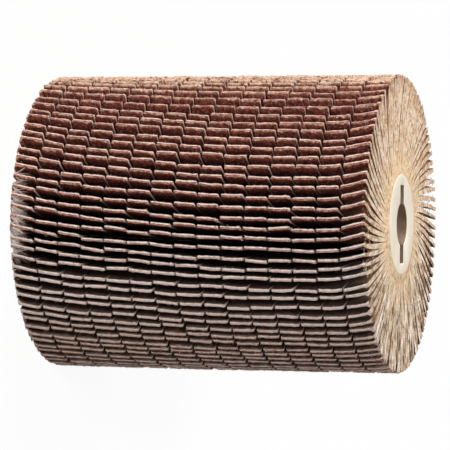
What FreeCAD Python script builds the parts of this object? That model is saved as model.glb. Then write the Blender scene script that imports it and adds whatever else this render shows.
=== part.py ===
"""Slit flap drum for a hand-held wheel sander.

Abrasive cloth flaps stand side by side round a moulded core that slides onto a keyed arbor. Each flap is slit
from its tip into strips, so that the drum bends to the work like a brush. The drum stands on one end of its
core: +Z runs along the bore, the keyways lie along X, and the origin is the middle of the core's lower end.
Lengths are in millimetres and angles in degrees.
"""
import FreeCAD, Part
import math
import os

from FreeCAD import Placement, Rotation, Vector

# Drum
drum_diameter = 100.0
flap_width = 120.0

# Core, which carries everything and slides onto the arbor
core_diameter = 34.0
core_stands_out = 0.5
bore_diameter = 14.4
bore_mouth_chamfer = 0.4
keyway_width = 5.3
keyway_span = 26.0

# Cured resin that holds the roots of the flaps
bond_thickness = 2.5
bond_sinks_in = 1.0

# Flaps
flap_count = 90
flap_thickness = 0.9
flap_offset = 6.5
flaps_per_node = 2

# Slits, as narrow wedges that are open at the tip of the flap
strip_count = 15
slit_depth = 24.0
slit_mouth = 0.7
slit_cycle = 5
closed_in_cycle = (0, 2)

core_length = flap_width + 2 * core_stands_out
core_radius = core_diameter / 2
bond_radius = core_radius + bond_thickness
drum_radius = drum_diameter / 2
AXIS = Vector(0, 0, 1)


def upright_cylinder(radius, bottom, height):
    return Part.makeCylinder(radius, height, Vector(0, 0, bottom), AXIS)


def keyway_cutter():
    """One bar across the bore that cuts both keyways at once."""
    corner = Vector(-keyway_span / 2, -keyway_width / 2, 0)
    return Part.makeBox(keyway_span, keyway_width, core_length, corner)


def bore_cutter():
    """The bore with its mouths bevelled to lead the arbor in, as one revolved outline."""
    radius = bore_diameter / 2
    outline = [
        Vector(0, 0, 0),
        Vector(radius + bore_mouth_chamfer, 0, 0),
        Vector(radius, 0, bore_mouth_chamfer),
        Vector(radius, 0, core_length - bore_mouth_chamfer),
        Vector(radius + bore_mouth_chamfer, 0, core_length),
        Vector(0, 0, core_length),
    ]
    half_section = Part.Face(Part.makePolygon(outline + outline[:1]))
    return half_section.revolve(Vector(0, 0, 0), AXIS, 360)


def make_core():
    """Moulded tube with a round bore and two keyways that run right through."""
    tube = upright_cylinder(core_radius, 0, core_length)
    return tube.cut(bore_cutter()).cut(keyway_cutter())


def seat_prism(bottom, height):
    """Upright prism round the axis with one flat per flap, each turned to the middle of that flap's root."""
    first_seat = math.asin(flap_offset / bond_radius)
    pitch = 2 * math.pi / flap_count
    corners = []
    for flap in range(flap_count):
        angle = first_seat + (flap + 0.5) * pitch
        corners.append(Vector(bond_radius * math.cos(angle), bond_radius * math.sin(angle), bottom))
    return Part.Face(Part.makePolygon(corners + corners[:1])).extrude(Vector(0, 0, height))


def make_bond():
    """Ring of resin on the core, with a flat for each flap and its ends a little below the ends of the flaps."""
    bottom = core_stands_out + bond_sinks_in
    height = flap_width - 2 * bond_sinks_in
    return seat_prism(bottom, height).cut(upright_cylinder(core_radius, bottom, height))


def comb_outline(shift, root, tip):
    """Corners of a flap laid flat. X runs from the root edge to the tips and Z along the drum.

    To keep the facets few, the places closed_in_cycle of every slit_cycle have no slit, and shift moves them along.
    """
    low = core_stands_out
    high = low + flap_width
    strip_width = flap_width / strip_count
    corners = [Vector(root, 0, high), Vector(root, 0, low), Vector(tip, 0, low)]
    for slit in range(1, strip_count):
        if (slit + shift) % slit_cycle in closed_in_cycle:
            continue
        middle = low + slit * strip_width
        corners.append(Vector(tip, 0, middle - slit_mouth / 2))
        corners.append(Vector(tip - slit_depth, 0, middle))
        corners.append(Vector(tip, 0, middle + slit_mouth / 2))
    corners.append(Vector(tip, 0, high))
    return corners


def make_flap(shift):
    """One sheet of abrasive cloth that runs beside the X axis, with its root cut to sit flat on the resin."""
    outer_side = flap_offset + flap_thickness / 2
    tip = math.sqrt(drum_radius ** 2 - outer_side ** 2)
    root = math.sqrt(core_radius ** 2 - outer_side ** 2)
    corners = comb_outline(shift, root, tip)
    sheet = Part.Face(Part.makePolygon(corners + corners[:1]))
    sheet.translate(Vector(0, flap_offset - flap_thickness / 2, 0))
    plate = sheet.extrude(Vector(0, flap_thickness, 0))
    return plate.cut(seat_prism(0, core_length))


def turned(shape, flap):
    """A copy of shape at the place of that flap, counted round the drum."""
    place = Placement(Vector(0, 0, 0), Rotation(AXIS, flap * 360 / flap_count))
    return shape.transformed(place.toMatrix(), True)


def flap_groups():
    """Yields each node's flaps as separate solids, spread evenly round the drum."""
    patterns = [make_flap(shift) for shift in range(slit_cycle)]
    for first in range(0, flap_count, flaps_per_node):
        members = range(first, min(first + flaps_per_node, flap_count))
        yield [turned(patterns[flap % slit_cycle], flap) for flap in members]


def export(name, shape):
    shape.exportStep(os.path.join("parts", name + ".step"))


def main():
    os.makedirs("parts", exist_ok=True)
    export("core", make_core())
    export("resin_bond", make_bond())
    for number, flaps in enumerate(flap_groups(), 1):
        export(f"flap_pair_{number:02d}", Part.makeCompound(flaps))


main()
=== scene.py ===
import math

import bpy
import numpy as np
from mathutils import Matrix, Vector


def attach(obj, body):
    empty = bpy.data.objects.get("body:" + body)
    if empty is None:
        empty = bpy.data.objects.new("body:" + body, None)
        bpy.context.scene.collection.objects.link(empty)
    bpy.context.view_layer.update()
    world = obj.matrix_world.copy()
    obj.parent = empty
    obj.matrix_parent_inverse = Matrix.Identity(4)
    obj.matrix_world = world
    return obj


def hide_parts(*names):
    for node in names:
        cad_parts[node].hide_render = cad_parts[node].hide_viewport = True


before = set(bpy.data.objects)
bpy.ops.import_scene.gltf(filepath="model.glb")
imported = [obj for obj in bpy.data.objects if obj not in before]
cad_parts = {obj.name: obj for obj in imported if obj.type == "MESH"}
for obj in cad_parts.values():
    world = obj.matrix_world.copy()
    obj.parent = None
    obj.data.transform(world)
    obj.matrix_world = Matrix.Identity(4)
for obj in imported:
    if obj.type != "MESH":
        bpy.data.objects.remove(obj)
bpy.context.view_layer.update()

MM = 0.001
rng = np.random.default_rng(90)

# Sizes of the drum, in millimetres
FLAPS = 90
STRIPS = 15
FLAP_WIDTH = 120.0
FLAP_LOW = 0.5
FLAP_THICKNESS = 0.88
FLAP_OFFSET = 6.5
DRUM_RADIUS = 50.0
BOND_RADIUS = 19.5
ROOT_RADIUS = 19.2
SLIT_BASE = 25.5
CORE_RADIUS = 17.0
CORE_LENGTH = 121.0
BORE_RADIUS = 7.2
KEYWAY_HALF_WIDTH = 2.65
KEYWAY_REACH = 13.0

# Materials of a flap, in the order of its material slots
GRAIN, BACKING, CUT_EDGE, FRAYED_END, WORN_TIP = range(5)

# Least and greatest distance from one tip to the next round the drum, in millimetres
TIP_STEPS = (2.7, 4.9)

# Sectors where the flaps fan apart: where each starts, in degrees round the drum, how far it opens at the
# tips, in millimetres, and how many degrees wide it is
FANS = ((204.0, 4.5), (332.0, 3.0))
FAN_WIDTH = 18.0

# Gaps that stand wide open: the flap before the gap, the strips beside it, and how far each side leans away
WIDE_GAPS = ((50, slice(13, 15), 0.45), (72, slice(5, 11), 0.35))

# The gap that the frayed edges leave clear at the upper end
OPEN_GAP = 50

# Mean of sweep() over the drum, and how much each side of the cloth swells at a tip, in millimetres
MEAN_SWEEP = 2.0
TIP_SWELLING = 0.04

# Loose fibres: how many stand out of each strip's tip, and out of each end of a flap
TIP_FIBRES = 8
END_FIBRES = 70

# The flap whose lower end has come apart the most into long threads, how many threads it has, and the number
# of flaps on each side over which that fades away
LOOSE_FLAP = 67
LOOSE_THREADS = 240
LOOSE_REACH = 5


# Materials

class Nodes:
    """Short calls for building one material's node tree."""

    def __init__(self, name):
        self.material = bpy.data.materials.new(name)
        self.material.use_nodes = True
        self.tree = self.material.node_tree
        self.tree.nodes.clear()
        self.out = self.tree.nodes.new("ShaderNodeOutputMaterial")
        self.place = self.tree.nodes.new("ShaderNodeTexCoord").outputs["Object"]

    def node(self, kind, inputs=None, **settings):
        made = self.tree.nodes.new("ShaderNode" + kind)
        for key, value in settings.items():
            setattr(made, key, value)
        for key, value in (inputs or {}).items():
            self.put(made.inputs[key], value)
        return made

    def put(self, socket, value):
        if isinstance(value, bpy.types.NodeSocket):
            self.tree.links.new(value, socket)
        else:
            socket.default_value = value

    def coordinate(self, axis):
        return self.node("SeparateXYZ", {0: self.place}).outputs[axis]

    def noise(self, scale, detail=2.0, rough=0.5, place=None):
        vector = self.place if place is None else place
        inputs = {"Vector": vector, "Scale": scale, "Detail": detail, "Roughness": rough}
        return self.node("TexNoise", inputs).outputs["Fac"]

    def streaks(self, scale, stretch):
        """Noise drawn out stretch times along lines from the drum's axis to its rim."""
        true_at = 35.0 * MM
        turn = self.math("ARCTAN2", self.coordinate("Y"), self.coordinate("X"))
        across = self.math("MULTIPLY", turn, true_at)
        along = self.math("DIVIDE", self.axis_distance(), stretch)
        return self.noise(scale, 4.0, 0.7, self.node("CombineXYZ", {0: across, 1: along}).outputs[0])

    def cells(self, scale, output="Distance"):
        return self.node("TexVoronoi", {"Vector": self.place, "Scale": scale}).outputs[output]

    def cell_shade(self, scale):
        """A number between 0 and 1 that is the same all over one cell."""
        return self.node("SeparateColor", {0: self.cells(scale, "Color")}).outputs[0]

    def math(self, operation, a, b=0.0, clamp=False):
        return self.node("Math", {0: a, 1: b}, operation=operation, use_clamp=clamp).outputs[0]

    def span(self, value, low, high, out_low=0.0, out_high=1.0):
        return self.node("MapRange", {"Value": value, "From Min": low, "From Max": high, "To Min": out_low,
                                      "To Max": out_high}).outputs[0]

    def ramp(self, value, stops):
        made = self.node("ValToRGB", {"Fac": value})
        ramp = made.color_ramp
        while len(ramp.elements) < len(stops):
            ramp.elements.new(0.5)
        for element, (position, colour) in zip(ramp.elements, stops):
            element.position = position
            element.color = (*linear(colour), 1.0)
        return made.outputs["Color"]

    def mix(self, factor, a, b, blend="MIX"):
        made = self.node("Mix", data_type="RGBA", blend_type=blend)
        self.put(made.inputs[0], factor)
        for socket, value in ((made.inputs[6], a), (made.inputs[7], b)):
            self.put(socket, value if isinstance(value, bpy.types.NodeSocket) else (*linear(value), 1.0))
        return made.outputs[2]

    def axis_distance(self):
        flat = self.node("VectorMath", {0: self.place, 1: (1, 1, 0)}, operation="MULTIPLY").outputs[0]
        return self.node("VectorMath", {0: flat}, operation="LENGTH").outputs["Value"]

    def from_axis(self, low, high, out_low=0.0, out_high=1.0):
        """A span over the distance from the drum's axis, in millimetres."""
        return self.span(self.axis_distance(), low * MM, high * MM, out_low, out_high)

    def over_x(self, low, high, out_low=0.0, out_high=1.0):
        """A span over the place along X, in millimetres."""
        return self.span(self.coordinate("X"), low * MM, high * MM, out_low, out_high)

    def by_depth(self, stops, wander):
        """Colours named by their distance from the drum's axis in millimetres, with borders that wander."""
        first, last = stops[0][0], stops[-1][0]
        drift = self.span(self.noise(520.0, 3.0, 0.6), 0.3, 0.7, -wander * MM, wander * MM)
        reach = self.math("ADD", self.axis_distance(), drift)
        share = self.span(reach, first * MM, last * MM)
        return self.ramp(share, [((at - first) / (last - first), colour) for at, colour in stops])

    def tip_highlight(self, colour):
        """Painted highlight: pale, thread-like patches on the tips where the drum faces -X, the side the
        light comes from.
        """
        patches = self.span(self.noise(600.0, 4.0, 0.7), 0.42, 0.52)
        share = self.math("MULTIPLY", self.over_x(-40.0, -47.5), patches)
        share = self.math("MULTIPLY", share, self.from_axis(48.9, 49.6))
        return self.mix(share, colour, (246, 212, 184))

    def near_ends(self, reach, low, high):
        """Rises over reach, in millimetres, to low at the drum's lower end and to high at its upper end."""
        height = self.coordinate("Z")
        bottom, top = FLAP_LOW * MM, (FLAP_LOW + FLAP_WIDTH) * MM
        lower = self.span(height, bottom, bottom + reach * MM, low, 0.0)
        upper = self.span(height, top - reach * MM, top, 0.0, high)
        return self.math("ADD", lower, upper, True)

    def painted_light_at_ends(self, colour, bands):
        """Painted light: lightens the painted shade in a flap's inner part towards the drum's ends, where
        light reaches in. A band is near_ends' numbers and a colour.
        """
        inside = self.from_axis(43.0, 47.0, 1.0, 0.0)
        for reach, low, high, pale in bands:
            share = self.math("MULTIPLY", self.near_ends(reach, low, high), inside)
            colour = self.mix(share, colour, pale, "LIGHTEN")
        return colour

    def dim(self, colour, factor):
        return self.node("VectorMath", {0: colour, 3: factor}, operation="SCALE").outputs[0]

    def bump(self, height, distance, strength=1.0, below=None):
        inputs = {"Height": height, "Distance": distance, "Strength": strength}
        if below is not None:
            inputs["Normal"] = below
        return self.node("Bump", inputs).outputs["Normal"]

    def surface(self, colour, roughness, normal, shine=0.15):
        shader = self.node("BsdfPrincipled", {"Base Color": colour, "Roughness": roughness, "Normal": normal,
                                              "Specular IOR Level": shine})
        self.tree.links.new(shader.outputs[0], self.out.inputs["Surface"])
        return self.material


def linear(colour):
    """Display colour, 0 to 255, to the linear values that nodes take."""
    shares = [c / 255 for c in colour[:3]]
    return tuple(s / 12.92 if s <= 0.04045 else ((s + 0.055) / 1.055) ** 2.4 for s in shares)


def grain_material():
    """The coated side: red-brown grit, rubbed pale at the tip, with painted shade that darkens it to near
    black deeper in.
    """
    n = Nodes("abrasive_grain")
    shade = n.cell_shade(2300.0)
    size = n.cells(2300.0)
    clumps = n.noise(900.0, 3.0, 0.7)
    blotches = n.noise(1000.0, 1.0, 0.5)
    patches = n.noise(260.0, 2.0, 0.6)
    # Painted shade: darker towards the axis, standing in for the shade between the flaps.
    body = n.by_depth([(43.5, (34, 21, 19)), (45.4, (52, 27, 24)), (46.8, (88, 39, 32)),
                       (48.2, (114, 53, 44)), (49.35, (140, 78, 63)), (49.75, (226, 182, 158))], 0.45)
    mottle = n.math("ADD", n.math("MULTIPLY", shade, 0.35), n.math("MULTIPLY", clumps, 0.65))
    body = n.dim(body, n.span(mottle, 0.35, 0.65, 0.56, 1.40))
    body = n.dim(body, n.span(blotches, 0.38, 0.62, 0.62, 1.36))
    body = n.dim(body, n.span(patches, 0.35, 0.65, 0.80, 1.18))
    body = n.tip_highlight(n.mix(n.span(shade, 0.93, 0.97, 0.0, 0.35), body, (206, 160, 138)))
    body = n.painted_light_at_ends(body, [(13.0, 0.4, 1.0, (186, 128, 94)), (2.0, 0.9, 1.3, (190, 138, 102))])
    normal = n.bump(clumps, 0.00040, 0.8, n.bump(size, 0.00030, 1.0))
    return n.surface(body, n.span(size, 0.0, 0.8, 0.55, 0.9), normal)


def backing_material():
    """The backing side: woven cotton, stone-coloured at the tip, with painted shade that darkens it deeper
    in, most of all about 2 mm below the tip.
    """
    n = Nodes("cloth_backing")
    weft = n.node("TexWave", {"Vector": n.place, "Scale": 330.0, "Distortion": 1.2, "Detail": 1.0},
                  bands_direction="Z").outputs["Fac"]
    warp = n.math("SINE", n.math("MULTIPLY", n.axis_distance(), 11000.0))
    weave = n.math("MAXIMUM", weft, n.span(warp, -1.0, 1.0))
    dust = n.noise(500.0, 4.0, 0.7)
    # Painted shade: darkest about 2 mm below the tip, standing in for the shade between the flaps.
    body = n.by_depth([(42.0, (112, 92, 80)), (45.0, (90, 73, 64)), (47.4, (74, 59, 52)),
                       (48.8, (92, 76, 68)), (49.2, (122, 106, 96)), (49.6, (150, 135, 125))], 0.35)
    body = n.dim(body, n.span(dust, 0.32, 0.68, 0.6, 1.35))
    body = n.dim(body, n.span(weave, 0.0, 1.0, 0.8, 1.05))
    body = n.painted_light_at_ends(body, [(7.0, 0.4, 0.9, (172, 138, 108)), (2.0, 0.9, 1.3, (200, 160, 124))])
    normal = n.bump(weave, 0.00012, 0.6, n.bump(dust, 0.0002, 0.5))
    return n.surface(body, n.span(dust, 0.3, 0.7, 0.95, 0.8), normal)


def edge_material():
    """Cut edges of the cloth at the tips and slits: pale fibres, with painted shade that darkens them deeper
    in.
    """
    n = Nodes("cut_edge")
    fibre = n.noise(1100.0, 4.0, 0.7)
    specks = n.cell_shade(2000.0)
    # Painted shade: darker towards the axis, standing in for the shade in the slits and between the flaps.
    body = n.by_depth([(38.0, (96, 82, 75)), (43.0, (136, 120, 111)), (46.0, (166, 149, 139)),
                       (48.0, (184, 166, 156)), (48.9, (206, 193, 185)), (49.5, (224, 214, 206))], 0.5)
    body = n.dim(body, n.span(fibre, 0.32, 0.6, 0.74, 1.04))
    body = n.mix(n.span(specks, 0.82, 0.90, 0.0, 0.4), body, (150, 98, 84))
    # The tips are darker and tanner towards -X, and darker still towards +X.
    body = n.mix(n.over_x(8.0, -22.0), body, (240, 226, 220), "MULTIPLY")
    body = n.mix(n.over_x(18.0, 40.0), body, (222, 210, 202), "MULTIPLY")
    normal = n.bump(fibre, 0.0003, 0.8)
    return n.surface(body, n.span(fibre, 0.3, 0.7, 0.9, 0.65), normal)


def worn_tip_material():
    """The grit side of a tip, rubbed down to a pink tan with grains left standing."""
    n = Nodes("worn_tip")
    clumps = n.noise(1000.0, 3.0, 0.7)
    specks = n.cell_shade(1900.0)
    body = n.ramp(clumps, [(0.34, (94, 50, 41)), (0.48, (132, 84, 71)), (0.62, (172, 130, 114))])
    body = n.tip_highlight(n.mix(n.span(specks, 0.78, 0.86, 0.0, 0.45), body, (112, 58, 48)))
    # Between the middle of the drum and its +X side the tips are paler.
    paler_band = n.math("MULTIPLY", n.over_x(0.0, 20.0, 0.0, 0.6), n.over_x(28.0, 42.0, 1.0, 0.1))
    body = n.mix(paler_band, body, (214, 199, 193))
    normal = n.bump(clumps, 0.0004, 0.8)
    return n.surface(body, n.span(clumps, 0.3, 0.7, 0.9, 0.65), normal)


def end_material():
    """Frayed side edges at the drum's ends: cream cotton with tan specks, amber near the resin."""
    n = Nodes("frayed_end")
    fibre = n.noise(750.0, 4.0, 0.75)
    broad = n.noise(240.0, 3.0, 0.6)
    specks = n.cell_shade(1300.0)
    tufts = n.cell_shade(620.0)
    body = n.ramp(fibre, [(0.30, (190, 140, 102)), (0.42, (238, 205, 170)), (0.58, (248, 232, 208))])
    body = n.mix(n.span(broad, 0.45, 0.65, 0.0, 0.4), body, (230, 188, 144))
    body = n.mix(n.span(specks, 0.76, 0.82, 0.0, 0.75), body, (176, 120, 86))
    body = n.mix(n.span(tufts, 0.74, 0.80, 0.0, 0.55), body, (208, 158, 112))
    body = n.mix(n.span(tufts, 0.22, 0.18, 0.0, 0.6), body, (252, 240, 220))
    # Browner at the rim, partly the tips' own colour and partly painted shade, and painted shade that greys
    # the face towards +X.
    body = n.mix(n.from_axis(43.0, 49.5, 0.0, 0.45), body, (176, 130, 102))
    body = n.mix(n.over_x(-5.0, 45.0, 0.0, 0.8), body, (200, 184, 166), "DARKEN")
    # Ragged clumps of thread, strongest towards +X, and painted shade that darkens the face away from the X
    # axis, where the flaps stand apart.
    ragged = n.streaks(340.0, 2.4)
    strength = n.over_x(-20.0, 30.0, 0.2, 0.95)
    body = n.mix(n.math("MULTIPLY", n.span(ragged, 0.47, 0.41), strength), body, (122, 94, 73))
    body = n.mix(n.math("MULTIPLY", n.span(ragged, 0.54, 0.60), strength), body, (253, 244, 230))
    body = n.dim(body, n.span(n.math("ABSOLUTE", n.coordinate("Y")), 14.0 * MM, 40.0 * MM, 1.0, 0.90))
    # Threads beside the roots are soaked with resin.
    uneven = n.span(n.noise(160.0, 3.0), 0.3, 0.7, 0.7, 1.2)
    soaked = n.math("MULTIPLY", n.from_axis(18.5, 30.0, 0.75, 0.0), uneven, True)
    body = n.mix(soaked, body, (242, 212, 168))
    normal = n.bump(fibre, 0.0003, 0.8)
    return n.surface(body, n.span(fibre, 0.3, 0.7, 0.9, 0.65), normal)


def resin_material():
    """Cast resin: amber cream, a little glossy, with pits, dust and threads of the cloth."""
    n = Nodes("bond_resin")
    flow = n.noise(180.0, 4.0, 0.6)
    grit = n.noise(1200.0, 3.0, 0.7)
    fibre = n.noise(750.0, 4.0, 0.75)
    clear = n.ramp(flow, [(0.30, (214, 174, 130)), (0.50, (230, 196, 154)), (0.70, (240, 212, 176))])
    matted = n.ramp(fibre, [(0.34, (176, 126, 88)), (0.46, (224, 186, 146)), (0.60, (242, 222, 194))])
    body = n.mix(0.8, clear, matted)
    body = n.mix(n.span(grit, 0.56, 0.68, 0.0, 0.3), body, (246, 226, 196))
    body = n.mix(n.span(grit, 0.44, 0.34, 0.0, 0.6), body, (188, 140, 100))
    normal = n.bump(flow, 0.0006, 0.6, n.bump(grit, 0.0002, 0.6))
    return n.surface(body, n.span(grit, 0.3, 0.7, 0.45, 0.75), normal, 0.5)


def core_material():
    """Moulded ivory plastic with a fine satin grain and faint flow marks."""
    n = Nodes("core_plastic")
    flow = n.noise(90.0, 3.0, 0.55)
    grain = n.noise(2200.0, 2.0, 0.6)
    body = n.ramp(flow, [(0.30, (240, 227, 203)), (0.55, (247, 238, 220)), (0.75, (250, 244, 230))])
    normal = n.bump(grain, 0.00005, 0.4, n.bump(flow, 0.0002, 0.25))
    return n.surface(body, n.span(grain, 0.3, 0.7, 0.42, 0.58), normal, 0.5)


def painted_shade_bore_material():
    """The walls of the bore and keyways: the same plastic, with painted shade that browns and darkens them.
    """
    n = Nodes("core_bore_painted_shade")
    flow = n.noise(120.0, 3.0, 0.6)
    streak = n.noise(900.0, 2.0, 0.6)
    body = n.ramp(flow, [(0.30, (104, 84, 64)), (0.55, (134, 110, 88)), (0.75, (158, 132, 108))])
    normal = n.bump(streak, 0.00006, 0.5)
    return n.surface(body, n.span(streak, 0.3, 0.7, 0.5, 0.7), normal, 0.5)


# Flaps

def smoothed(values, width):
    """Noise with its fast part taken out, as long as values less width - 1."""
    kernel = np.hanning(width + 2)[1:-1]
    return np.convolve(values, kernel / kernel.sum(), "valid")


def flap_columns():
    """Places along one strip, from 0 to 1, close together at both sides where the corners are round."""
    return np.array([0.0, 0.03, 0.09, 0.22, 0.40, 0.60, 0.78, 0.91, 0.97, 1.0])


def flap_rows():
    """Distances from the drum's axis, closer together towards the tips."""
    return np.array([ROOT_RADIUS, 22.0, SLIT_BASE, 30.0, 34.5, 38.5, 42.0, 44.8, 46.8, 48.2, 49.1, 49.75])


def sweep(z):
    """How far the flaps turn clockwise round the axis along the drum, in millimetres at the tips.

    They are set a little askew in the lower half of the drum, and more so at its two ends.
    """
    along = 4.4 / (1.0 + np.exp((z - 45.0) / 13.5))
    low = np.clip((34.0 - z) / 34.0, 0.0, 1.0)
    high = np.clip((z - 106.0) / 14.5, 0.0, 1.0)
    return along + 3.4 * low ** 2 + 2.3 * high ** 2


def way_out(radius, start):
    """Share of the way from the radius start to the drum's outline, from 0 to 1."""
    return np.clip((radius - start) / (DRUM_RADIUS - start), 0.0, 1.0)


def end_closures(base, rim, patchy):
    """How far the frayed edges close each gap at one end of the drum, from 0 to 1, for each row.

    base gives the share beside the resin and rim the share at the tips for the direction a gap faces. The
    higher patchy is there, the more gaps stand open at random.
    """
    rows = flap_rows()
    t = way_out(rows, BOND_RADIUS)
    shares = []
    for gap in range(FLAPS):
        angle = 2 * math.pi * (gap + 0.5) / FLAPS + math.asin(FLAP_OFFSET / DRUM_RADIUS)
        share = base(angle) * (1.0 - t) + rim(angle) * t
        if rng.uniform() < patchy(angle):
            share = share * (1.0 - rng.uniform(0.4, 1.0) * t ** 0.8)
        uneven = smoothed(rng.normal(0.12, 0.28, len(rows) + 2), 3)
        shares.append(np.clip(share * (1.0 + uneven), 0.0, 1.0))
    return np.array(shares)


def upper_closures():
    """At the upper end the flaps are matted together where the drum faces along X, most of all towards -X."""
    def along_x(angle):
        return 0.5 + 0.5 * math.cos(2 * angle)

    def base(angle):
        return 0.85 + 0.15 * along_x(angle)

    def rim(angle):
        return 0.06 + 0.90 * along_x(angle)

    def patchy(angle):
        return 0.12 + 0.38 * along_x(angle) * (math.cos(angle) > 0)

    shares = end_closures(base, rim, patchy)
    shares[OPEN_GAP] = 0.0
    return shares


def lower_closures():
    """At the lower end the gaps are closed at the resin, and at the tips most of all towards -Y."""
    def rim(angle):
        return 0.55 - 0.75 * min(0.0, math.sin(angle))

    return end_closures(lambda angle: 1.3, rim, lambda angle: 0.1)


def spread(angle):
    """Lean that all strips of a flap share: the flaps fan apart in two sectors and stand closer elsewhere."""
    turn = np.degrees(angle) % 360.0
    lean = sum(amount for start, amount in FANS) * turn / 360.0
    for start, amount in FANS:
        share = np.clip((turn - start) / FAN_WIDTH, 0.0, 1.0)
        lean = lean - amount * share ** 2 * (3.0 - 2.0 * share)
    return lean


def strip_leans():
    """Tip displacement of each strip, clockwise seen from above, with room left between neighbours."""
    flap = rng.normal(0.0, 0.28, FLAPS)
    lean = flap[:, None] + rng.normal(0.0, np.linspace(0.34, 0.20, STRIPS), (FLAPS, STRIPS))
    wave = rng.normal(0.0, 1.0, (FLAPS, STRIPS + 8))
    lean += 0.5 * np.array([smoothed(row, 9) for row in wave])
    tips = 2 * math.pi * np.arange(FLAPS) / FLAPS + math.asin(FLAP_OFFSET / DRUM_RADIUS)
    lean += spread(tips - MEAN_SWEEP / DRUM_RADIUS)[:, None]
    for gap, strips, amount in WIDE_GAPS:
        lean[gap, strips] += amount
        lean[gap + 1, strips] -= amount
    # Tips that stand too close or too far apart hand half of the excess on to each side, round after round.
    pitch = 2 * math.pi * DRUM_RADIUS / FLAPS
    rounds = 60
    for _ in range(rounds):
        step = pitch + lean - np.roll(lean, -1, axis=0)
        excess = step - np.clip(step, *TIP_STEPS)
        lean -= 0.5 * excess
        lean += 0.5 * np.roll(excess, 1, axis=0)
    return lean - lean.mean()


def path_angle(radius):
    """A flap's polar angle: mostly straight beside the axis, a little hooked so that its root is square."""
    straight = np.arcsin(FLAP_OFFSET / radius)
    first = math.asin(FLAP_OFFSET / BOND_RADIUS)
    last = math.asin(FLAP_OFFSET / DRUM_RADIUS)
    hooked = first - (first - last) * way_out(radius, BOND_RADIUS) ** 1.6
    return 0.7 * straight + 0.3 * hooked


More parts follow.
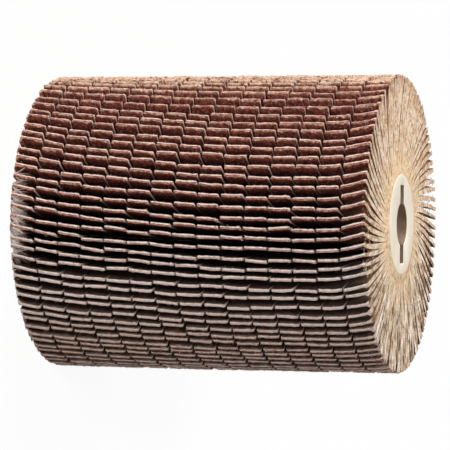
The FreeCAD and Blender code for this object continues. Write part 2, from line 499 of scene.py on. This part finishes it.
class FlapShape:
    """Vertices and faces of one flap, as a closed sheet with its strips cut apart, and its loose fibres.

    leans is the table of all strips' leans, and closures holds the two ends' tables of how far the gaps are
    closed.
    """

    def __init__(self, flap, leans, closures, threads):
        self.points = []
        self.faces = []
        self.kinds = []
        self.angle = 2 * math.pi * flap / FLAPS
        self.flap = flap
        self.leans = leans
        self.lean = leans[flap]
        self.closures = closures
        self.columns = flap_columns()
        self.rows = flap_rows()
        # Shares of the way from the slits' base and from the resin to the tip, for each row.
        self.past_slit = way_out(self.rows, SLIT_BASE)
        self.past_bond = way_out(self.rows, BOND_RADIUS)
        self.hang = (0.35 * self.past_bond + 0.65 * self.past_slit) ** 1.7
        self.strips = self.lay_out()
        self.build_sheet()
        self.fray_tips()
        self.fray_end(0, 0, -1.0)
        self.fray_end(STRIPS - 1, len(self.columns) - 1, 1.0)
        self.unravel_low_end(threads)

    def lay_out(self):
        """Middle surface of each strip: its points, the directions out and across, and half thicknesses."""
        count = len(self.columns)
        self.twist = rng.normal(-0.005, 0.022, STRIPS)
        self.reach = rng.normal(0.0, 0.12, STRIPS)
        self.curl = rng.normal(0.0, 0.08, STRIPS)
        self.cut = rng.uniform(0.30, 0.54, STRIPS + 1)
        self.cut[[0, -1]] = 0.0
        self.sway = rng.normal(0.0, 0.20, STRIPS + 1)
        ripple = smoothed(rng.normal(0.0, 1.0, STRIPS * count + 18), 19)
        self.ripple = ripple.reshape(STRIPS, count, 1)
        self.ragged_z = rng.uniform(0.0, 0.25, (2, len(self.rows)))
        return [self.lay_strip(strip) for strip in range(STRIPS)]

    def lay_strip(self, strip):
        z = self.heights(strip)
        radius = self.reaches(strip)
        theta = self.angle + path_angle(radius) - self.bend(strip) / radius - sweep(z) / DRUM_RADIUS
        middle = np.stack([radius * np.cos(theta), radius * np.sin(theta), z], axis=-1)
        out = np.gradient(middle, axis=1)
        out[..., 2] = 0.0
        out /= np.linalg.norm(out, axis=-1, keepdims=True)
        across = np.stack([-out[..., 1], out[..., 0], np.zeros_like(z)], axis=-1)
        half = np.full((2, *z.shape), FLAP_THICKNESS / 2)
        half[:, :, -2:] += TIP_SWELLING
        if strip == 0:
            self.fill_gaps(half, strip, radius, 0, (0, 1))
        if strip == STRIPS - 1:
            self.fill_gaps(half, strip, radius, 1, (-1, -2))
        return middle, out, across, half

    def heights(self, strip):
        """Heights of a strip's points, with the slits beside it open towards the tips."""
        width = FLAP_WIDTH / STRIPS
        side = self.columns[:, None]
        q = self.past_slit
        cut = self.cut[strip] * (1 - side) - self.cut[strip + 1] * side
        sway = self.sway[strip] * (1 - side) + self.sway[strip + 1] * side
        z = FLAP_LOW + strip * width + side * width + q * cut + q ** 2 * sway
        # The two outer edges splay out a little towards the tips and are cut ragged.
        if strip == 0:
            z[0] = FLAP_LOW - 0.42 * q ** 2 + self.ragged_z[0]
        if strip == STRIPS - 1:
            z[-1] = FLAP_LOW + FLAP_WIDTH + 0.48 * q ** 2 - self.ragged_z[1]
        return z

    def reaches(self, strip):
        """Distances of a strip's points from the axis. Corners are rounded, and no strip is just as long."""
        corner = 0.65
        side = self.columns[:, None]
        inset = np.clip(np.minimum(side, 1 - side) * FLAP_WIDTH / STRIPS, 0.0, corner)
        drop = corner - np.sqrt(corner ** 2 - (corner - inset) ** 2)
        length = DRUM_RADIUS - 0.30 + min(self.reach[strip], 0.22) - 0.6 * drop
        share = (self.rows - BOND_RADIUS) / (self.rows[-1] - BOND_RADIUS)
        return BOND_RADIUS + share * (length - BOND_RADIUS)

    def bend(self, strip):
        """How far a strip's points stand clockwise of the flat flap: its lean, twist, curl and ripples."""
        from_middle = (self.columns[:, None] - 0.5) * FLAP_WIDTH / STRIPS
        return (self.lean[strip] * self.hang
                + self.twist[strip] * from_middle * self.past_slit ** 1.3
                + self.curl[strip] * (from_middle / 4.0) ** 2 * self.past_slit ** 1.5
                + 0.32 * self.ripple[strip] * self.past_bond ** 1.5)

    def fill_gaps(self, half, strip, radius, end, columns):
        """Swells the frayed outer edge and, less so, the column next to it into the gaps beside the flap."""
        for face, step in ((0, 1), (1, -1)):
            away = step * (self.lean[strip] - self.leans[(self.flap + step) % FLAPS, strip]) * self.hang
            closed = self.closures[end][(self.flap - face) % FLAPS]
            for column, part in zip(columns, (1.0, 0.4)):
                room = math.pi * radius[column] / FLAPS + away / 2 - FLAP_THICKNESS / 2 - 0.01
                half[face, column] += part * np.clip(room, 0.0, None) * closed

    def build_sheet(self):
        """Joins the strips into one closed sheet: they share their points below the slits."""
        base = int(np.searchsorted(self.rows, SLIT_BASE))
        count, high = len(self.columns), len(self.rows)
        index, crests = self.place_points(base)
        for strip in range(STRIPS):
            for column in range(count - 1):
                near, far = index[strip, column], index[strip, column + 1]
                for row in range(high - 1):
                    a, b, c, d = near[row], far[row], far[row + 1], near[row + 1]
                    self.add((a[0], b[0], c[0], d[0]), GRAIN)
                    self.add((d[1], c[1], b[1], a[1]), BACKING)
                a, b = near[0], far[0]
                self.add((a[1], b[1], b[0], a[0]), CUT_EDGE)
                a, b = near[-1], far[-1]
                m, n = crests[strip, column], crests[strip, column + 1]
                self.add((a[0], b[0], n, m), WORN_TIP)
                self.add((m, n, b[1], a[1]), CUT_EDGE)
            for column, outer in ((0, strip == 0), (count - 1, strip == STRIPS - 1)):
                kind = FRAYED_END if outer else CUT_EDGE
                side = index[strip, column]
                walls = [(side[row][0], side[row + 1][0], side[row + 1][1], side[row][1])
                         for row in range(0 if outer else base, high - 1)]
                walls.append((side[-1][0], crests[strip, column], side[-1][1]))
                for wall in walls:
                    self.add(wall if column == 0 else wall[::-1], kind)

    def place_points(self, base):
        """Makes the sheet's points: two for each place on the strips, and one for each on their crests."""
        count, high = len(self.columns), len(self.rows)
        rough = rng.normal(0.0, 1.0, (STRIPS, count, 6))
        index = np.zeros((STRIPS, count, high, 2), dtype=int)
        crests = np.zeros((STRIPS, count), dtype=int)
        for strip, (middle, out, across, half) in enumerate(self.strips):
            for column in range(count):
                jitter = rough[strip, column]
                for row in range(high):
                    if column == 0 and strip > 0 and row <= base:
                        index[strip, column, row] = index[strip - 1, count - 1, row]
                        continue
                    for face, sign in ((0, 1.0), (1, -1.0)):
                        bulge = 0.05 * jitter[face] if row >= high - 3 else 0.0
                        beyond = 0.06 * jitter[2 + face] if row == high - 1 else 0.0
                        offset = sign * half[face, column, row] + bulge
                        point = middle[column, row] + across[column, row] * offset
                        index[strip, column, row, face] = self.point(point + out[column, row] * beyond)
                # The grit side of the tip is ground down to a bevel, so the crest lies towards the backing
                # side.
                crest = middle[column, -1] + out[column, -1] * (0.08 + 0.05 * jitter[4])
                crest = crest - across[column, -1] * (0.03 + 0.06 * jitter[5])
                crests[strip, column] = self.point(crest)
        return index, crests

    def point(self, place):
        self.points.append(tuple(float(v) for v in place))
        return len(self.points) - 1

    def add(self, face, kind):
        self.faces.append(tuple(int(i) for i in face))
        self.kinds.append(kind)

    def fray_tips(self):
        """Short fibres that stand out of the tips of the strips."""
        for middle, out, across, _ in self.strips:
            for _ in range(TIP_FIBRES):
                column = rng.integers(0, len(self.columns) - 1)
                share = rng.uniform()
                root = (1 - share) * middle[column, -1] + share * middle[column + 1, -1]
                side = rng.uniform(-1.0, 1.0)
                root = root + across[column, -1] * side * FLAP_THICKNESS / 2
                heading = out[column, -1] * rng.uniform(0.1, 1.0) + across[column, -1] * side
                heading = heading + np.array([0.0, 0.0, rng.uniform(-0.8, 0.8)])
                kind = WORN_TIP if side > -0.1 else CUT_EDGE
                if rng.uniform() < 0.35:
                    kind = FRAYED_END
                self.fibre(root, heading, rng.uniform(0.25, 0.75), rng.uniform(0.05, 0.10), kind)

    def fray_end(self, strip, column, upward):
        """Fibres that hang out of the sheet's side edge at one end of the drum, and half bridge the gaps.

        A gap that is open at the tips has few fibres there.
        """
        middle, out, across = (part[column] for part in self.strips[strip][:3])
        half = self.strips[strip][3][:, column]
        for _ in range(END_FIBRES):
            row = int(rng.integers(1, len(self.rows) - 3))
            face = int(rng.integers(0, 2))
            closed = self.closures[0 if upward < 0 else 1][(self.flap - face) % FLAPS, row]
            if rng.uniform() > 0.05 + 1.3 * closed:
                continue
            share = rng.uniform()
            root = (1 - share) * middle[row] + share * middle[row + 1]
            side = (1.0, -1.0)[face]
            root = root + across[row] * side * 0.8 * half[face, row]
            root[2] -= upward * rng.uniform(0.05, 1.6)
            heading = across[row] * side + out[row] * rng.uniform(-0.5, 0.9)
            heading = heading + np.array([0.0, 0.0, upward * rng.uniform(-0.3, 0.6)])
            longest = 0.35 + 1.1 * way_out(math.hypot(root[0], root[1]), ROOT_RADIUS)
            length = rng.uniform(0.4, 1.0) * longest
            self.fibre(root, heading, length, rng.uniform(0.08, 0.18), FRAYED_END)

    def unravel_low_end(self, threads):
        """Long threads that have come loose at the lower end and lie back into the gaps beside the flap."""
        middle, out, across = (part[0] for part in self.strips[0][:3])
        for _ in range(threads):
            row = int(rng.integers(2, len(self.rows)))
            side = rng.choice((-1.0, 1.0))
            root = middle[row] + across[row] * side * rng.uniform(0.2, 1.0) * FLAP_THICKNESS
            root[2] = rng.uniform(0.1, 0.9)
            heading = across[row] * side * rng.uniform(0.1, 1.0) + out[row] * rng.uniform(-0.5, 0.2)
            heading = heading + np.array([0.0, 0.0, rng.uniform(0.3, 1.8)])
            self.fibre(root, heading, rng.uniform(1.5, 6.5), rng.uniform(0.10, 0.20), CUT_EDGE)

    def fibre(self, root, heading, length, thickness, kind):
        """A tapered thread, three-sided, with one bend in it."""
        heading = heading / np.linalg.norm(heading)
        across = np.cross(heading, (0.36, 0.48, 0.80))
        across /= np.linalg.norm(across)
        other = np.cross(heading, across)
        bend = (across * rng.uniform(-0.35, 0.35) + other * rng.uniform(-0.35, 0.35)) * length
        turns = [2 * math.pi * corner / 3 for corner in range(3)]
        rings = []
        for share, size in ((0.0, 1.0), (0.55, 0.8)):
            middle = root + heading * length * share + bend * share ** 2
            spokes = [thickness * size * (across * math.cos(a) + other * math.sin(a)) for a in turns]
            rings.append([self.thread_point(middle + spoke) for spoke in spokes])
        end = self.thread_point(root + heading * length + bend)
        for corner in range(3):
            after = (corner + 1) % 3
            self.add((rings[0][corner], rings[0][after], rings[1][after], rings[1][corner]), kind)
            self.add((rings[1][corner], rings[1][after], end), kind)
        self.add(rings[0][::-1], kind)

    def thread_point(self, place):
        """Adds a point, held between the planes of the core's two ends and near the drum's outline."""
        pull = min(1.0, (DRUM_RADIUS + 0.4) / math.hypot(place[0], place[1]))
        height = min(max(place[2], 0.03), CORE_LENGTH - 0.03)
        return self.point((place[0] * pull, place[1] * pull, height))


def make_object(name, points, faces, kinds, materials, sharp=35.0):
    mesh = bpy.data.meshes.new(name)
    mesh.from_pydata([(x * MM, y * MM, z * MM) for x, y, z in points], [], faces)
    for material in materials:
        mesh.materials.append(material)
    mesh.polygons.foreach_set("material_index", kinds)
    mesh.polygons.foreach_set("use_smooth", [True] * len(faces))
    mesh.set_sharp_from_angle(angle=math.radians(sharp))
    mesh.update()
    made = bpy.data.objects.new(name, mesh)
    bpy.context.collection.objects.link(made)
    return made


def make_flaps(materials):
    leans = strip_leans()
    closures = lower_closures(), upper_closures()
    for pair in range(FLAPS // 2):
        points, faces, kinds = [], [], []
        for flap in (2 * pair, 2 * pair + 1):
            fade = max(0.0, 1.0 - abs(flap - LOOSE_FLAP) / LOOSE_REACH)
            shape = FlapShape(flap, leans, closures, round(fade * LOOSE_THREADS))
            start = len(points)
            points += shape.points
            faces += [tuple(i + start for i in face) for face in shape.faces]
            kinds += shape.kinds
        piece = make_object(f"flaps_{pair + 1:02d}", points, faces, kinds, materials)
        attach(piece, "root")
        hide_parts(f"flap_pair_{pair + 1:02d}")


# Core and resin

def ring_mesh(name, angles, profile, materials, inner=range(0)):
    """Joins one closed profile, given as points (radius, height) for each angle, into a ring.

    The sides of the profile that inner names take the second material.
    """
    points = []
    rows = [profile(angle) for angle in angles]
    for angle, row in zip(angles, rows):
        points += [(r * math.cos(angle), r * math.sin(angle), z) for r, z in row]
    count = len(rows[0])
    faces = []
    kinds = []
    for i in range(len(angles)):
        j = (i + 1) % len(angles)
        for k in range(count):
            m = (k + 1) % count
            faces.append((i * count + k, j * count + k, j * count + m, i * count + m))
            kinds.append(1 if k in inner else 0)
    return make_object(name, points, faces, kinds, materials, 30.0)


def bore_reach(angle):
    """Distance from the axis to the wall of the bore or keyway."""
    run = max(abs(math.cos(angle)), 1e-6)
    rise = max(abs(math.sin(angle)), 1e-6)
    return max(BORE_RADIUS, min(KEYWAY_REACH / run, KEYWAY_HALF_WIDTH / rise))


def core_angles():
    """Even steps round the core, with two close together at each of the keyways' corners."""
    steps, close = 144, 0.012
    wanted = [2 * math.pi * i / steps for i in range(steps)]
    for corner in (math.asin(KEYWAY_HALF_WIDTH / BORE_RADIUS), math.atan2(KEYWAY_HALF_WIDTH, KEYWAY_REACH)):
        for at in (corner, math.pi - corner, math.pi + corner, 2 * math.pi - corner):
            wanted = [angle for angle in wanted if abs(angle - at) > close]
            wanted += [at - close / 3, at + close / 3]
    return sorted(wanted)


def quarter_turn(across, height, radius, start, steps):
    """Points of a quarter circle about the point (across, height), clockwise from start in degrees."""
    turns = [math.radians(start - 90 * step / steps) for step in range(steps + 1)]
    return [(across + radius * math.cos(turn), height + radius * math.sin(turn)) for turn in turns]


def core_profile(angle):
    """Section of the core at one angle, with rounded rims outside and softened edges at the bore."""
    inner = bore_reach(angle)
    rim, lip = 0.6, 0.35
    outer_wall = [(CORE_RADIUS, CORE_LENGTH * share) for share in (0.9, 0.5, 0.1)]
    inner_wall = [(inner, CORE_LENGTH * share) for share in (0.1, 0.5, 0.9)]
    return (quarter_turn(CORE_RADIUS - rim, CORE_LENGTH - rim, rim, 90, 5) + outer_wall
            + quarter_turn(CORE_RADIUS - rim, rim, rim, 0, 5)
            + quarter_turn(inner + lip, lip, lip, -90, 3) + inner_wall
            + quarter_turn(inner + lip, CORE_LENGTH - lip, lip, 180, 3))


def make_core(materials):
    bore_sides = range(17, 23)
    piece = ring_mesh("core_moulding", core_angles(), core_profile, materials, bore_sides)
    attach(piece, "root")
    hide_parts("core")


def make_resin(material):
    """Cast ring whose ends climb unevenly between the roots of the flaps."""
    steps = 336
    noise = rng.normal(0.0, 1.0, (2, steps))
    swell = [smoothed(np.concatenate([row[-2:], row, row[:2]]), 5) for row in noise]
    first = math.asin(FLAP_OFFSET / BOND_RADIUS)
    sunk = 1.0
    top, halfway, low = CORE_LENGTH - sunk, FLAP_WIDTH / 2, sunk
    inside = CORE_RADIUS - 0.1

    def profile(angle):
        i = int(round(angle / (2 * math.pi) * steps)) % steps
        between = 0.5 - 0.5 * math.cos((angle - first) * FLAPS)
        reach = BOND_RADIUS + 0.3 + 0.6 * between
        crest = 0.12 * swell[0][i]
        trough = 0.25 * swell[1][i]
        return [
            (inside, top + 0.9), (inside + 0.8, top + 0.8 + crest), (inside + 1.8, top + 0.7 + crest),
            (reach, top + 0.3 + crest), (reach + 0.1, top - 3.0), (reach, halfway),
            (reach + 0.1, low + 3.0), (reach, low + 0.5 - trough), (inside + 1.8, low - trough),
            (inside + 0.8, low - 0.15 - trough), (inside, low - 0.35), (inside, halfway),
        ]

    angles = [2 * math.pi * i / steps for i in range(steps)]
    piece = ring_mesh("resin_cast", angles, profile, [material])
    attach(piece, "root")
    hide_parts("resin_bond")


# Stage, light and camera

def make_floor():
    mesh = bpy.data.meshes.new("floor")
    half = 6.0
    corners = [(-half, -half, 0), (half, -half, 0), (half, half, 0), (-half, half, 0)]
    mesh.from_pydata(corners, [], [(0, 1, 2, 3)])
    floor = bpy.data.objects.new("floor", mesh)
    bpy.context.collection.objects.link(floor)
    n = Nodes("floor_white")
    shaded = n.node("BsdfDiffuse", {"Color": (0.95, 0.95, 0.95, 1)}).outputs[0]
    glow = n.node("Emission", {"Color": (1, 1, 1, 1), "Strength": 1.0}).outputs[0]
    seen = n.node("LightPath").outputs["Is Camera Ray"]
    share = n.math("MULTIPLY", seen, 0.93)
    mixed = n.node("MixShader", {0: share, 1: shaded, 2: glow}).outputs[0]
    n.tree.links.new(mixed, n.out.inputs["Surface"])
    mesh.materials.append(n.material)


def make_world():
    world = bpy.data.worlds.new("studio")
    bpy.context.scene.world = world
    world.use_nodes = True
    tree = world.node_tree
    tree.nodes.clear()
    out = tree.nodes.new("ShaderNodeOutputWorld")
    soft = tree.nodes.new("ShaderNodeBackground")
    soft.inputs["Color"].default_value = (0.97, 0.985, 1.0, 1)
    soft.inputs["Strength"].default_value = 0.30
    white = tree.nodes.new("ShaderNodeBackground")
    white.inputs["Color"].default_value = (1, 1, 1, 1)
    white.inputs["Strength"].default_value = 1.0
    path = tree.nodes.new("ShaderNodeLightPath")
    mixed = tree.nodes.new("ShaderNodeMixShader")
    tree.links.new(path.outputs["Is Camera Ray"], mixed.inputs[0])
    tree.links.new(soft.outputs[0], mixed.inputs[1])
    tree.links.new(white.outputs[0], mixed.inputs[2])
    tree.links.new(mixed.outputs[0], out.inputs["Surface"])


def make_sun(name, towards, strength, softness):
    """A warm sun whose light comes from the direction given. Its softness is its width in degrees."""
    data = bpy.data.lights.new(name, "SUN")
    data.color = (1.0, 0.97, 0.94)
    data.energy = strength
    data.angle = math.radians(softness)
    lamp = bpy.data.objects.new(name, data)
    lamp.rotation_euler = Vector(towards).to_track_quat("Z", "Y").to_euler()
    bpy.context.collection.objects.link(lamp)


def make_camera():
    """The photograph's view: the drum's axis runs across, its upper end turned a little to the lens.

    The numbers are fitted to the outlines of both ends and the hub in the photograph.
    """
    elevation = math.radians(17.4)
    tilt = math.radians(0.5)
    shift_right, shift_up, away = -1.4, -0.7, 973.9
    lens_px, picture_px = 2863.0, 450.0
    flat_right = Vector((0, math.sin(elevation), math.cos(elevation)))
    flat_up = Vector((-1, 0, 0))
    right = flat_right * math.cos(tilt) + flat_up * math.sin(tilt)
    up = flat_up * math.cos(tilt) - flat_right * math.sin(tilt)
    back = right.cross(up)
    centre = Vector((0, 0, CORE_LENGTH / 2))
    spot = centre + shift_right * right + shift_up * up + away * back
    data = bpy.data.cameras.new("camera")
    data.sensor_width = 36.0
    data.lens = data.sensor_width * lens_px / picture_px
    data.clip_start = 0.05
    data.clip_end = 50.0
    camera = bpy.data.objects.new("camera", data)
    turn = Matrix((right, up, back)).transposed().to_4x4()
    camera.matrix_world = Matrix.Translation(spot * MM) @ turn
    bpy.context.collection.objects.link(camera)
    bpy.context.scene.camera = camera


bpy.context.scene.view_settings.view_transform = "Standard"
make_camera()
make_world()
make_floor()
make_sun("key", (-0.24, -0.66, 0.72), 1.95, 14.0)
make_sun("high", (-0.98, -0.04, 0.24), 3.1, 40.0)

make_core([core_material(), painted_shade_bore_material()])
make_resin(resin_material())
make_flaps([grain_material(), backing_material(), edge_material(), end_material(), worn_tip_material()])
